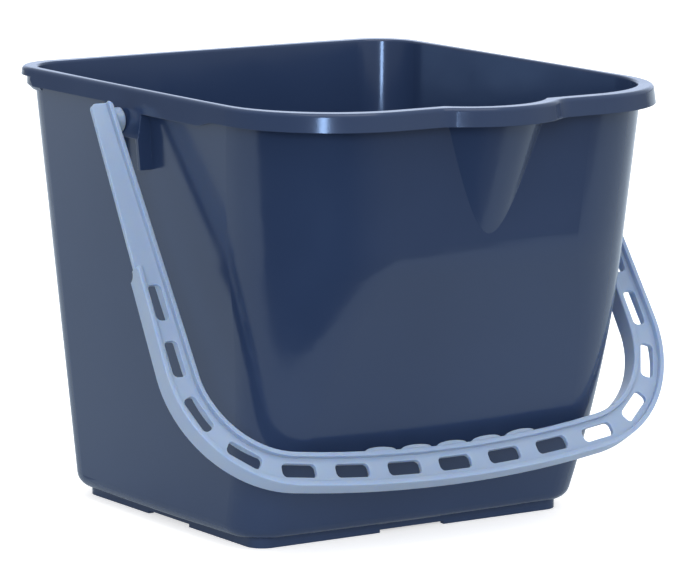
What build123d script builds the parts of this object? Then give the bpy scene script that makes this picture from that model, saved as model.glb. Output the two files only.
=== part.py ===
from build123d import *
import os
from math import asin, atan2, cos, degrees, hypot, radians, sin, sqrt, tan

# Rectangular pouring bucket with a swinging bail handle, as two plastic mouldings.
# Millimetres, +Z up, front (spout) towards -Y, origin on the floor at the centre of the foot.

# Heights
rim_height = 255.2
foot_height = 6.0

# Foot ring and the notch in each of its sides
foot_half_width = 106.0
foot_half_length = 94.3
foot_corner = 10.5
foot_wall = 3.5
notch_length = 44.5
notch_height = 1.8

# Tub wall, outer surface, level with the top of the foot, which is set in from it
foot_side_set_in = 10.0
foot_back_set_in = 8.7
foot_front_set_in = 6.5
base_half_width = foot_half_width + foot_side_set_in
base_back = foot_half_length + foot_back_set_in
base_front = foot_half_length + foot_front_set_in
base_corner_front = 26.0
base_edge_round = 9.0

# Tub wall, outer surface, level with the rim
mouth_half_width = 133.0
mouth_back = 124.2
mouth_front = 172.8
mouth_corner_front = 68.5
corner_back = 28.0

# The front wall leans in steeply above the foot, bends at a knee and leans less up to the rim;
# its corners widen from the foot up to the knee, faster the higher they are
front_lean = radians(5.3)
base_lean = radians(21.5)
front_slope = tan(front_lean)
base_slope = tan(base_lean)
knee_half_height = 8.0
knee_rise = (mouth_front - base_front - front_slope * (rim_height - foot_height)) / (base_slope - front_slope)
knee_bottom = foot_height + knee_rise - knee_half_height
knee_top = foot_height + knee_rise + knee_half_height

# Every wall bulges by this much at its middle
wall_bulge = 2.4

# Plastic thicknesses
wall = 2.3
floor_thickness = 2.6

# Rim outline at the top, which overhangs the mouth, and the skirt that hangs from it
rim_side_overhang = 5.0
rim_front_overhang = 8.8
rim_back_overhang = 7.6
rim_half_width = mouth_half_width + rim_side_overhang
rim_front = mouth_front + rim_front_overhang
rim_back = mouth_back + rim_back_overhang
rim_corner_front = 69.1
rim_corner_back = 29.3
rim_thickness = 3.0
rim_outer_round = 2.4
rim_inner_round = 1.4
skirt_wall = 2.2
skirt_flare = 8.0
skirt_depth = 10.4
side_skirt_extra = 3.0
side_skirt_front = 84.0
side_skirt_run_out = 17.0
back_lip_depth = 5.0
skirt_end_y = 100.0
skirt_end_chamfer = 3.5
collar_inset = 2.6
collar_depth = 13.7
collar_chamfer = 3.0

# Pouring spout: a bulge of the rim and a conical gutter below it
spout_half_width = 38.5
spout_reach = 15.5
spout_blend = 16.0
gutter_overhang = 6.5
gutter_drop = 74.0
gutter_tip_radius = 26.0

# Handle lugs: a tab below the skirt between two ribs
pivot_y = -6.2
pivot_drop = 18.6
lug_half_length = 20.3
tab_drop = 27.6
rib_thickness = 2.8
rib_drop = 45.2
rib_reach = 10.4

# Handle pins and bosses
pin_diameter = 9.0
pin_clearance = 0.05
boss_diameter = 14.5
boss_length = 6.67
boss_gap = 0.4
snap_lip = 0.7
snap_gap = 0.35
snap_length = 2.2

# Bail handle, drawn flat with its pivot line at the local origin
rest_gap = 0.35
arm_head = 8.0
arm_head_round = 3.0
arm_taper = 2.7
corner_inner_radius = 53.2
corner_drop = 161.0
grip_drop = 220.8
band_width = 20.4
band_depth = 12.0
web_offset = 5.5
web_thickness = 2.6
front_recess = 3.2
flange = 2.8
full_depth_start = 94.0
full_depth_round = 5.0
edge_round = 0.7

# Slots along the handle and finger bumps on the grip
slot_count = 15
slot_pitch = 34.4
slot_length = 22.0
slot_width = 8.4
slot_corner = 3.0
bump_count = 5
bump_pitch = 24.0
bump_length = 20.0
bump_height = 2.3

# How far a cutting shape runs past the surface that it opens
overshoot = 1.0

# Levels below the rim
pivot_z = rim_height - pivot_drop
tab_bottom = rim_height - tab_drop
rib_bottom = rim_height - rib_drop
skirt_bottom = rim_height - skirt_depth
side_skirt_bottom = skirt_bottom - side_skirt_extra
lip_bottom = rim_height - back_lip_depth
collar_bottom = rim_height - collar_depth
gutter_tip_height = rim_height - gutter_drop


def along(height, base_value, mouth_value):
    """Value at a height on a straight line from the foot's top to the rim."""
    share = (height - foot_height) / (rim_height - foot_height)
    return base_value + share * (mouth_value - base_value)


def rise_above_knee(height):
    """Height above the knee, setting in gradually over the knee's own height."""
    into_knee = min(max(height - knee_bottom, 0), 2 * knee_half_height)
    return into_knee**2 / (4 * knee_half_height) + max(height - knee_top, 0)


def front_at(height):
    """Distance of the front wall from the origin."""
    above = rise_above_knee(height)
    below = height - foot_height - above
    return base_front + base_slope * below + front_slope * above


def corner_front_at(height):
    """Radius of the front corners."""
    share = (height - foot_height - rise_above_knee(height)) / knee_rise
    return base_corner_front + share**2 * (mouth_corner_front - base_corner_front)


def tub_section(height, inset):
    """Horizontal section of the tub, drawn in from the outer wall by the inset."""
    half_width = along(height, base_half_width, mouth_half_width) - inset
    back = along(height, base_back, mouth_back) - inset
    front = front_at(height) - inset
    bulge_x = half_width + wall_bulge
    bulge_y = (back - front) / 2
    corners = [(half_width, -front), (half_width, back), (-half_width, back), (-half_width, -front)]
    bulges = [(bulge_x, bulge_y), (0, back + wall_bulge), (-bulge_x, bulge_y), (0, -front - wall_bulge)]
    with BuildSketch(Plane.XY.offset(height)) as section:
        with BuildLine():
            for start, bulge, end in zip(corners, bulges, corners[1:] + corners[:1]):
                ThreePointArc(start, bulge, end)
        make_face()
        fillet(section.vertices().group_by(Axis.Y)[0], corner_front_at(height) - inset)
        fillet(section.vertices().group_by(Axis.Y)[-1], corner_back - inset)
    return section.sketch


def tub(inset, lowest):
    """The tub as a solid block from its lowest level to the rim, drawn in by the inset."""
    levels = (lowest, knee_bottom, knee_top, rim_height)
    with BuildPart() as block:
        for bottom, top in zip(levels, levels[1:]):
            loft([tub_section(height, inset) for height in (bottom, (bottom + top) / 2, top)])
    return block.part


spout_radius = (spout_half_width**2 + spout_reach**2) / (2 * spout_reach)
spout_centre_y = spout_radius - rim_front - spout_reach


def gutter_sections(inset):
    """Circles at the rim and at the tip of the pouring gutter."""
    tip_front = front_at(gutter_tip_height) + wall_bulge
    with BuildSketch(Plane.XY.offset(rim_height)) as mouth:
        with Locations((0, spout_centre_y)):
            Circle(spout_radius - gutter_overhang - inset)
    with BuildSketch(Plane.XY.offset(gutter_tip_height)) as tip:
        with Locations((0, gutter_tip_radius - tip_front)):
            Circle(gutter_tip_radius - inset)
    return [mouth.sketch, tip.sketch]


def rim_outline(height, inset):
    """Outline of the rim with the spout's bulge, drawn in by the inset."""
    with BuildSketch(Plane.XY.offset(height)) as outline:
        with Locations((0, (rim_back - rim_front) / 2)):
            Rectangle(2 * (rim_half_width - inset), rim_back + rim_front - 2 * inset)
        fillet(outline.vertices().group_by(Axis.Y)[0], rim_corner_front - inset)
        fillet(outline.vertices().group_by(Axis.Y)[-1], rim_corner_back - inset)
        with Locations((0, spout_centre_y)):
            Circle(spout_radius - inset)
        kinks = outline.vertices().filter_by(lambda corner: abs(corner.X) < spout_half_width + overshoot)
        fillet(kinks, spout_blend + inset)
    return outline.sketch


# Rim: a flat band with a flared skirt, trimmed along its lower edge
lug_front = pivot_y - lug_half_length
lug_back = pivot_y + lug_half_length
far = rim_front + spout_reach + rim_half_width

with BuildPart() as rim:
    extrude(rim_outline(rim_height, 0), amount=tab_bottom - rim_height, taper=-skirt_flare)
    hollow_top = rim_height - rim_thickness
    hollow_inset = skirt_wall - rim_thickness * tan(radians(skirt_flare))
    extrude(
        rim_outline(hollow_top, hollow_inset),
        amount=tab_bottom - hollow_top - overshoot,
        taper=-skirt_flare,
        mode=Mode.SUBTRACT,
    )
    with BuildSketch(Plane.YZ) as below_skirt:
        with BuildLine():
            run_out_start = (-side_skirt_front, side_skirt_bottom)
            run_out_end = (-side_skirt_front - side_skirt_run_out, skirt_bottom)
            Polyline((-far, tab_bottom - overshoot), (-far, skirt_bottom), run_out_end)
            Spline(run_out_end, run_out_start, tangents=((1, 0), (1, 0)))
            Polyline(
                run_out_start,
                (lug_front, side_skirt_bottom),
                (lug_front, tab_bottom),
                (lug_back, tab_bottom),
                (lug_back, skirt_bottom),
                (skirt_end_y - skirt_end_chamfer, skirt_bottom),
                (skirt_end_y, skirt_bottom + skirt_end_chamfer),
                (skirt_end_y, lip_bottom),
                (far, lip_bottom),
                (far, tab_bottom - overshoot),
                (-far, tab_bottom - overshoot),
            )
        make_face()
    extrude(amount=far, both=True, mode=Mode.SUBTRACT)

# Collar below the lip at the back
with BuildPart() as collar:
    extrude(rim_outline(collar_bottom, collar_inset), amount=lip_bottom + overshoot - collar_bottom)
    chamfer(collar.edges().group_by(Axis.Z)[0], collar_chamfer)
    split(bisect_by=Plane.XZ.offset(-skirt_end_y + skirt_end_chamfer), keep=Keep.BOTTOM)

# Lug: outer face of the tab and place of its ribs
flare_slope = tan(radians(skirt_flare))
tab_at_top_of_pin = rim_half_width + flare_slope * (rim_height - pivot_z - pin_diameter / 2)
tab_at_foot_of_boss = rim_half_width + flare_slope * (rim_height - pivot_z + boss_diameter / 2)
boss_end = tab_at_foot_of_boss + boss_gap
arm_inner = boss_end + boss_length

with BuildPart() as bucket_body:
    add(tub(0, foot_height))
    fillet(bucket_body.edges().group_by(Axis.Z)[0], base_edge_round)
    loft(gutter_sections(0))
    add(rim.part)
    add(collar.part)
    for rib_y in (lug_front + rib_thickness, lug_back):
        with BuildSketch(Plane.XZ.offset(-rib_y)) as rib:
            with BuildLine():
                root_top = along(rim_height, base_half_width, mouth_half_width) - wall / 2
                root_bottom = along(rib_bottom, base_half_width, mouth_half_width) - wall / 2
                tip_bottom = root_bottom + wall / 2 + rib_reach
                tip_tab = rim_half_width + flare_slope * (rim_height - tab_bottom)
                tip_top = rim_half_width + flare_slope * rim_thickness
                Polyline(
                    (root_top, rim_height - rim_thickness / 2),
                    (tip_top, rim_height - rim_thickness),
                    (tip_tab, tab_bottom),
                    (tip_bottom, rib_bottom),
                    (root_bottom, rib_bottom),
                    close=True,
                )
            make_face()
            mirror(about=Plane.YZ)
        extrude(amount=rib_thickness)
    with BuildSketch() as foot:
        RectangleRounded(2 * foot_half_width, 2 * foot_half_length, foot_corner)
        offset(amount=-foot_wall, mode=Mode.SUBTRACT)
    extrude(amount=foot_height + floor_thickness)
    with BuildSketch() as notches:
        Rectangle(2 * (foot_half_width + overshoot), notch_length)
        Rectangle(notch_length, 2 * (foot_half_length + overshoot))
    extrude(amount=notch_height, mode=Mode.SUBTRACT)
    add(tub(wall, foot_height + floor_thickness), mode=Mode.SUBTRACT)
    loft(gutter_sections(wall), mode=Mode.SUBTRACT)
    for side in (-1, 1):
        pocket_x = along(pivot_z, base_half_width, mouth_half_width) + wall_bulge + overshoot
        with BuildSketch(Plane.YZ.offset(side * pocket_x)) as pin_hole:
            with Locations((pivot_y, pivot_z)):
                Circle(pin_diameter / 2 + pin_clearance)
        extrude(amount=side * (arm_inner - pocket_x), mode=Mode.SUBTRACT)
    rim_top = bucket_body.faces().sort_by(Axis.Z)[-1]
    fillet(rim_top.outer_wire().edges(), rim_outer_round)
    rim_top = bucket_body.faces().sort_by(Axis.Z)[-1]
    fillet(rim_top.inner_wires().edges(), rim_inner_round)
bucket_body.part.label = "bucket_body"

# Bail handle: a slotted channel bar bent into a U, drawn on its own tilted plane
web_back = web_offset - web_thickness / 2
front_face = web_offset + web_thickness / 2 + front_recess
back_face = front_face - band_depth
corner_x = arm_inner - corner_inner_radius
corner_centre = (corner_x, -corner_drop)
drop_left = grip_drop - corner_drop
grip_radius = (corner_x**2 + drop_left**2 - corner_inner_radius**2) / (2 * (drop_left - corner_inner_radius))
grip_centre = (0, grip_radius - grip_drop)
grip_end_angle = degrees(atan2(-corner_drop - grip_centre[1], corner_x))

# At rest the grip leans towards the front wall and is nearest to it where the wall's corners begin
near_x = base_half_width - base_corner_front
near_drop = grip_drop - grip_radius + sqrt(grip_radius**2 - near_x**2)
near_bulge = wall_bulge * (1 - (near_x / base_half_width) ** 2)
wall_at_floor = base_front + near_bulge - base_slope * foot_height
pivot_to_wall = (pivot_y + wall_at_floor) * cos(base_lean) + pivot_z * sin(base_lean)
grip_angle = asin((pivot_to_wall + rest_gap) / hypot(near_drop, back_face))
rest_tilt = grip_angle - base_lean - atan2(back_face, near_drop)
handle_normal = (0, -cos(rest_tilt), sin(rest_tilt))
handle_plane = Plane(origin=(0, pivot_y, pivot_z), x_dir=(1, 0, 0), z_dir=handle_normal)


def handle_edge(outset, lean):
    """Grip and corner arcs outside the handle's inner edge, from the middle of the grip to a leaning arm."""
    CenterArc(grip_centre, grip_radius + outset, -90, 90 + grip_end_angle)
    return CenterArc(corner_centre, corner_inner_radius + outset, grip_end_angle, lean - grip_end_angle)


with BuildLine() as slot_line:
    slot_corner_arc = handle_edge(band_width / 2, arm_taper / 2)
    PolarLine(slot_corner_arc @ 1, corner_drop, direction=slot_corner_arc % 1)
slot_path = slot_line.wire()

snap_start = tab_at_top_of_pin - skirt_wall - snap_gap
bump_step = degrees(bump_pitch / grip_radius)
bump_span = bump_step * (bump_count - 1)

with BuildPart() as handle:
    with BuildSketch(handle_plane.offset(back_face)) as band:
        with BuildLine():
            inner_corner = handle_edge(0, 0)
            outer_corner = handle_edge(band_width, arm_taper)
            arm_rise = arm_head - (outer_corner @ 1).Y
            outer_top = (outer_corner @ 1).X - arm_rise * tan(radians(arm_taper))
            Polyline(inner_corner @ 1, (arm_inner, arm_head), (outer_top, arm_head), outer_corner @ 1)
            mirror(about=Plane.YZ)
        make_face()
        fillet(band.vertices().group_by(Axis.Y)[-1], arm_head_round)
    extrude(amount=band_depth)
    fillet(handle.faces().filter_by(handle_plane).edges(), edge_round)

    with BuildSketch(handle_plane.offset(front_face)) as front_pocket:
        add(band.sketch_local)
        offset(amount=-flange, mode=Mode.REPLACE)
        for side, align in ((-1, Align.MAX), (1, Align.MIN)):
            with Locations((side * (arm_inner + flange), -full_depth_start)):
                Rectangle(band_width, full_depth_start + arm_head + overshoot, align=(align, Align.MIN))
    extrude(amount=-front_recess, mode=Mode.SUBTRACT)
    with BuildSketch(handle_plane.offset(back_face)) as back_pocket:
        add(front_pocket.sketch_local)
    extrude(amount=web_back - back_face, mode=Mode.SUBTRACT)

    with BuildSketch(handle_plane.offset(back_face)) as slots:
        for step in range((slot_count + 1) // 2):
            place = slot_path.position_at(step * slot_pitch, PositionMode.LENGTH)
            heading = slot_path.tangent_at(step * slot_pitch, PositionMode.LENGTH)
            with Locations(Location(place, degrees(atan2(heading.Y, heading.X)))):
                RectangleRounded(slot_length, slot_width, slot_corner)
        mirror(about=Plane.YZ)
    extrude(amount=band_depth, mode=Mode.SUBTRACT)

    with BuildSketch(handle_plane.offset(back_face + edge_round)) as finger_bumps:
        with Locations(grip_centre):
            with PolarLocations(grip_radius, bump_count, -90 - bump_span / 2, bump_span, endpoint=True):
                Ellipse(bump_height, bump_length / 2)
    extrude(amount=band_depth - 2 * edge_round)

    side_plane = Plane(origin=handle_plane.origin, x_dir=handle_plane.z_dir, z_dir=(1, 0, 0))
    with BuildSketch(side_plane) as behind_arms:
        with BuildLine():
            above_head = -arm_head - overshoot
            behind = back_face - overshoot
            round_start = (back_face + full_depth_round, full_depth_start)
            round_end = (back_face, full_depth_start + full_depth_round)
            Polyline((web_back, above_head), (web_back, full_depth_start), round_start)
            RadiusArc(round_start, round_end, -full_depth_round)
            Polyline(round_end, (behind, round_end[1]), (behind, above_head), (web_back, above_head))
        make_face()
    extrude(amount=arm_inner + band_width, both=True, mode=Mode.SUBTRACT)

    for side in (-1, 1):
        pivot = (side * arm_inner, pivot_y, pivot_z)
        with BuildSketch(Plane(pivot, x_dir=handle_plane.z_dir, z_dir=(side, 0, 0))) as ear:
            Circle(boss_diameter / 2)
            with Locations((web_offset / 2, 0)):
                Rectangle(web_offset, 2 * arm_head)
        extrude(amount=flange)
        with BuildSketch(Plane(pivot, x_dir=handle_plane.z_dir, z_dir=(-side, 0, 0))) as boss:
            Circle(boss_diameter / 2)
        extrude(amount=boss_length)
        with BuildSketch(Plane(pivot, x_dir=handle_plane.z_dir, z_dir=(-side, 0, 0))) as pin:
            Circle(pin_diameter / 2)
        extrude(amount=arm_inner - snap_start)
        snap_origin = (side * snap_start, pivot_y, pivot_z)
        with BuildSketch(Plane(snap_origin, x_dir=handle_plane.z_dir, z_dir=(-side, 0, 0))) as snap_head:
            Circle(pin_diameter / 2 + snap_lip)
        extrude(amount=snap_length, taper=degrees(atan2(snap_lip, snap_length)))
handle.part.label = "handle"

os.makedirs("parts", exist_ok=True)
for piece in (bucket_body, handle):
    export_step(piece.part, f"parts/{piece.part.label}.step")
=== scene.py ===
import math

import bpy
from mathutils import Matrix, Vector

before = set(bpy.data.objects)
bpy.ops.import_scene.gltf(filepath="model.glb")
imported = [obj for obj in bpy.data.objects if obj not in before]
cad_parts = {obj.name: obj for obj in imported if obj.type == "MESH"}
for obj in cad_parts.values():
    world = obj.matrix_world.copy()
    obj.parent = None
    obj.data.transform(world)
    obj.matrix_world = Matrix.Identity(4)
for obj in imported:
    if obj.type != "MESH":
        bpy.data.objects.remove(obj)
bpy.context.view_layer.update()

scene = bpy.context.scene
scene.view_settings.view_transform = "Standard"

# Point that the camera and the soft boxes face; lengths are in metres and angles in degrees
TARGET = Vector((-0.0024, -0.0234, 0.1318))

# Camera, at the photograph's viewing angle
CAMERA_AZIMUTH = 33.66
CAMERA_ELEVATION = 9.365
CAMERA_ROLL = 0.208
CAMERA_DISTANCE = 2.7353
CAMERA_LENS = 248.05

# Values that both plastics share: refraction, scatter in red, green and blue, noise and softened edges
PLASTIC_IOR = 1.49
SCATTER_RADIUS = (0.4, 0.6, 1.0)
CLOUD_SCALE = 9
CLOUD_DETAIL = 3
GLOSS_SCALE = 35
GLOSS_DETAIL = 4
GRAIN_DETAIL = 2
GRAIN_STRENGTH = 0.2
EDGE_SAMPLES = 6

# Values between which most of a noise lies
NOISE_MIDDLE = (0.3, 0.7)

WHITE = (1, 1, 1)

# Table top: its front edge runs almost across the view, this far from the bucket's middle
TABLE_AZIMUTH = CAMERA_AZIMUTH - 8
TABLE_FRONT = 0.325
TABLE_DEPTH = 7.0
TABLE_HALF_WIDTH = 6.0

# Table's colours: in soft light and in reflections, near the bucket and far behind it, and to the camera;
# near the bucket they are darker as painted shade, and the blue of the colours in reflections is a painted
# reflection tint
TABLE_SHADED_NEAR = (0.53, 0.53, 0.53)
TABLE_FAR = (0.95, 0.95, 0.95)
TABLE_SHADED_NEAR_MIRRORED = (0.40, 0.49, 0.58)
TABLE_FAR_MIRRORED = (0.76, 0.88, 1.0)
TABLE_SEEN = (0.90, 0.90, 0.90)

# Distances behind the bucket's middle between which the table's painted shade near the bucket fades out,
# from near to far
TABLE_SHADE_FADE = (0.2, 1.2)

# Table's glow: a painted glow, though the table is no lamp, that lights the bucket and brightens its
# reflections of the table where the bucket's shadow falls, and a stronger glow that makes the table white
# to the camera
TABLE_PAINTED_GLOW = 0.24
TABLE_GLOW_SEEN = 0.58

# Room light: its colour in reflections, and its level on the camera's side and overhead
ROOM_COLOUR = (0.80, 0.90, 1.0)
ROOM_DIM = 0.40
ROOM_BRIGHT = 0.85

# Backdrop behind the bucket: its colour in reflections and the light that it adds
BACKDROP_COLOUR = (0.67, 0.78, 1.0)
BACKDROP = 1.0

# Light of the floor below the table's edge, at the left and at the right
FLOOR_LEFT = 0.05
FLOOR_RIGHT = 0.35

# Cosines between which each part of the room sets in
OVERHEAD_SPREAD = (-0.3, 0.8)
BACKDROP_SPREAD = (0.7, 0.98)
HORIZON_SPREAD = (-0.06, 0.06)
FLOOR_SPREAD = (0.2, 0.9)


def aimed_at_target(azimuth, elevation, distance, roll=0):
    """Place of something that faces the target; azimuth turns from the front towards the left."""
    turn = Matrix.Rotation(-math.radians(azimuth), 4, "Z")
    tip = Matrix.Rotation(math.radians(90 - elevation), 4, "X")
    rotation = turn @ tip @ Matrix.Rotation(math.radians(roll), 4, "Z")
    return Matrix.Translation(TARGET + rotation @ Vector((0, 0, distance))) @ rotation


def ground_directions(azimuth):
    """Level directions to the right and away, seen from this azimuth."""
    angle = math.radians(azimuth)
    right = Vector((math.cos(angle), -math.sin(angle), 0))
    away = Vector((math.sin(angle), math.cos(angle), 0))
    return right, away


class Nodes:
    """Short calls for building one node tree."""

    def __init__(self, tree):
        self.tree = tree
        tree.nodes.clear()

    def add(self, kind, **settings):
        node = self.tree.nodes.new(kind)
        for name, value in settings.items():
            setattr(node, name, value)
        return node

    def link(self, source, target):
        self.tree.links.new(source, target)

    def math(self, operation, first, second):
        node = self.add("ShaderNodeMath", operation=operation)
        for socket, value in zip(node.inputs, (first, second)):
            if isinstance(value, (int, float)):
                socket.default_value = value
            else:
                self.link(value, socket)
        return node.outputs[0]

    def noise(self, place, scale, detail):
        node = self.add("ShaderNodeTexNoise")
        node.inputs["Scale"].default_value = scale
        node.inputs["Detail"].default_value = detail
        self.link(place, node.inputs["Vector"])
        return node.outputs[0]

    def ramp(self, value, spread, low, high):
        """Smooth rise from low to high while the value crosses the spread."""
        node = self.add("ShaderNodeMapRange", interpolation_type="SMOOTHSTEP")
        node.inputs["From Min"].default_value = spread[0]
        node.inputs["From Max"].default_value = spread[1]
        node.inputs["To Min"].default_value = low
        node.inputs["To Max"].default_value = high
        self.link(value, node.inputs["Value"])
        return node.outputs[0]

    def blend(self, share, first, second):
        """Mix of two colours, each a fixed colour or a socket."""
        node = self.add("ShaderNodeMix", data_type="RGBA")
        self.link(share, node.inputs[0])
        for socket, colour in ((node.inputs[6], first), (node.inputs[7], second)):
            if isinstance(colour, tuple):
                socket.default_value = (*colour, 1)
            else:
                self.link(colour, socket)
        return node.outputs[2]

    def facing(self, direction, target):
        """How far a place or a direction reaches along a fixed target direction."""
        node = self.add("ShaderNodeVectorMath", operation="DOT_PRODUCT")
        self.link(direction, node.inputs[0])
        node.inputs[1].default_value = target.normalized()
        return node.outputs["Value"]

    def bump(self, height, strength, distance, normal):
        node = self.add("ShaderNodeBump")
        node.inputs["Strength"].default_value = strength
        node.inputs["Distance"].default_value = distance
        self.link(height, node.inputs["Height"])
        self.link(normal, node.inputs["Normal"])
        return node.outputs[0]

    def finish(self, kind, shader):
        """Ends the tree in an output node of this kind."""
        output = self.add(kind)
        self.link(shader.outputs[0], output.inputs["Surface"])


def new_material(name):
    material = bpy.data.materials.new(name)
    material.use_nodes = True
    return material, Nodes(material.node_tree)


def moulded_plastic(name, colour, shade, roughness, grain_scale, grain_depth, edge_round, depth=0):
    """Injection moulded plastic: cloudy colour, uneven gloss, fine grain and softened edges."""
    material, nodes = new_material(name)
    place = nodes.add("ShaderNodeTexCoord").outputs["Object"]
    shader = nodes.add("ShaderNodeBsdfPrincipled")
    shader.inputs["IOR"].default_value = PLASTIC_IOR
    shader.inputs["Subsurface Weight"].default_value = 1 if depth else 0
    shader.inputs["Subsurface Radius"].default_value = SCATTER_RADIUS
    shader.inputs["Subsurface Scale"].default_value = depth

    cloud = nodes.ramp(nodes.noise(place, CLOUD_SCALE, CLOUD_DETAIL), NOISE_MIDDLE, 0, 1)
    nodes.link(nodes.blend(cloud, colour, shade), shader.inputs["Base Color"])
    gloss = nodes.ramp(nodes.noise(place, GLOSS_SCALE, GLOSS_DETAIL), NOISE_MIDDLE, *roughness)
    nodes.link(gloss, shader.inputs["Roughness"])

    edges = nodes.add("ShaderNodeBevel", samples=EDGE_SAMPLES)
    edges.inputs["Radius"].default_value = edge_round
    grain = nodes.noise(place, grain_scale, GRAIN_DETAIL)
    normal = nodes.bump(grain, GRAIN_STRENGTH, grain_depth, edges.outputs[0])
    nodes.link(normal, shader.inputs["Normal"])
    nodes.finish("ShaderNodeOutputMaterial", shader)
    return material


def navy_plastic():
    """Glossy, opaque plastic of the bucket's body."""
    return moulded_plastic(
        "navy_plastic",
        colour=(0.022, 0.041, 0.100),
        shade=(0.024, 0.045, 0.109),
        roughness=(0.12, 0.18),
        grain_scale=500,
        grain_depth=0.00004,
        edge_round=0.0005,
    )


def light_blue_plastic():
    """Satin plastic of the handle, which lets light in a few millimetres deep."""
    return moulded_plastic(
        "light_blue_plastic",
        colour=(0.33, 0.43, 0.595),
        shade=(0.35, 0.45, 0.62),
        roughness=(0.32, 0.42),
        grain_scale=1500,
        grain_depth=0.00006,
        edge_round=0.0006,
        depth=0.003,
    )


def dress(node_name, material):
    """Gives a CAD node its material."""
    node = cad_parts[node_name]
    node.data.materials.clear()
    node.data.materials.append(material)


def add_camera():
    data = bpy.data.cameras.new("camera")
    data.lens = CAMERA_LENS
    camera = bpy.data.objects.new("camera", data)
    camera.matrix_world = aimed_at_target(CAMERA_AZIMUTH, CAMERA_ELEVATION, CAMERA_DISTANCE, CAMERA_ROLL)
    scene.collection.objects.link(camera)
    scene.camera = camera


def white_table(away):
    """Pale table with painted shade that darkens it near the bucket, a painted blue tint in reflections, a
    painted glow, and white to the camera.
    """
    material, nodes = new_material("white_table")
    place = nodes.add("ShaderNodeTexCoord").outputs["Object"]
    path = nodes.add("ShaderNodeLightPath").outputs
    is_seen = path["Is Camera Ray"]
    is_mirrored = path["Is Glossy Ray"]

    # Painted shade: the table darkens towards the bucket, and reflections see it with a painted blue tint
    far = nodes.ramp(nodes.facing(place, away), TABLE_SHADE_FADE, 0, 1)
    mirrored = nodes.blend(far, TABLE_SHADED_NEAR_MIRRORED, TABLE_FAR_MIRRORED)
    soft = nodes.blend(far, TABLE_SHADED_NEAR, TABLE_FAR)
    unseen = nodes.blend(is_mirrored, soft, mirrored)
    diffuse = nodes.add("ShaderNodeBsdfDiffuse")
    nodes.link(nodes.blend(is_seen, unseen, TABLE_SEEN), diffuse.inputs["Color"])

    # Painted glow: the table shines on the bucket and into its reflections, bluish in them, though it is no
    # lamp
    glow = nodes.add("ShaderNodeEmission")
    nodes.link(nodes.blend(is_mirrored, WHITE, ROOM_COLOUR), glow.inputs["Color"])
    nodes.link(nodes.ramp(is_seen, (0, 1), TABLE_PAINTED_GLOW, TABLE_GLOW_SEEN), glow.inputs["Strength"])
    both = nodes.add("ShaderNodeAddShader")
    for shader, socket in zip((diffuse, glow), both.inputs):
        nodes.link(shader.outputs[0], socket)
    nodes.finish("ShaderNodeOutputMaterial", both)
    return material


def add_table():
    """White table top that ends in front of the bucket."""
    right, away = ground_directions(TABLE_AZIMUTH)
    corners = []
    for side, depth in ((-1, -TABLE_FRONT), (1, -TABLE_FRONT), (1, TABLE_DEPTH), (-1, TABLE_DEPTH)):
        corners.append(side * TABLE_HALF_WIDTH * right + depth * away)
    mesh = bpy.data.meshes.new("table_top")
    mesh.from_pydata(corners, [], [(0, 1, 2, 3)])
    mesh.materials.append(white_table(away))
    table = bpy.data.objects.new("table_top", mesh)
    scene.collection.objects.link(table)


def add_world():
    """White to the camera; to the light a room with a bright backdrop and a dark floor below the table."""
    world = bpy.data.worlds.new("studio")
    world.use_nodes = True
    scene.world = world
    nodes = Nodes(world.node_tree)
    direction = nodes.add("ShaderNodeTexCoord").outputs["Generated"]
    path = nodes.add("ShaderNodeLightPath").outputs
    up = Vector((0, 0, 1))
    right, away = ground_directions(CAMERA_AZIMUTH)
    brightest = up + right / 2

    overhead = nodes.ramp(nodes.facing(direction, brightest), OVERHEAD_SPREAD, ROOM_DIM, ROOM_BRIGHT)
    behind = nodes.ramp(nodes.facing(direction, away), BACKDROP_SPREAD, 0, 1)
    backdrop = nodes.math("MULTIPLY", behind, BACKDROP)
    above = nodes.ramp(nodes.facing(direction, up), HORIZON_SPREAD, 0, 1)
    walls = nodes.math("MULTIPLY", above, nodes.math("ADD", overhead, backdrop))
    floor = nodes.ramp(nodes.facing(direction, right), FLOOR_SPREAD, FLOOR_LEFT, FLOOR_RIGHT)
    room = nodes.math("MAXIMUM", walls, floor)

    background = nodes.add("ShaderNodeBackground")
    tint = nodes.blend(behind, ROOM_COLOUR, BACKDROP_COLOUR)
    nodes.link(nodes.blend(path["Is Glossy Ray"], WHITE, tint), background.inputs["Color"])
    nodes.link(nodes.math("MAXIMUM", path["Is Camera Ray"], room), background.inputs["Strength"])
    nodes.finish("ShaderNodeOutputWorld", background)


def add_soft_box(name, azimuth, elevation, distance, width, height, power, colour=WHITE):
    data = bpy.data.lights.new(name, "AREA")
    data.shape = "RECTANGLE"
    data.size = width
    data.size_y = height
    data.energy = power
    data.color = colour
    lamp = bpy.data.objects.new(name, data)
    lamp.matrix_world = aimed_at_target(azimuth, elevation, distance)
    scene.collection.objects.link(lamp)
    return lamp


def add_lights():
    """Light from above, a fill without a reflection, and a strip for the corners' highlight alone."""
    add_soft_box("top_box", azimuth=20, elevation=75, distance=2.2, width=1.8, height=1.8, power=14)
    fill = add_soft_box("fill_box", azimuth=40, elevation=15, distance=3.0, width=1.4, height=1.4, power=40)
    fill.visible_glossy = False
    strip = add_soft_box(
        "strip_box",
        azimuth=40,
        elevation=6,
        distance=3.0,
        width=0.35,
        height=1.4,
        power=46,
        colour=(0.40, 0.61, 1.0),
    )
    strip.visible_diffuse = False


add_camera()
dress("bucket_body", navy_plastic())
dress("handle", light_blue_plastic())
add_table()
add_world()
add_lights()
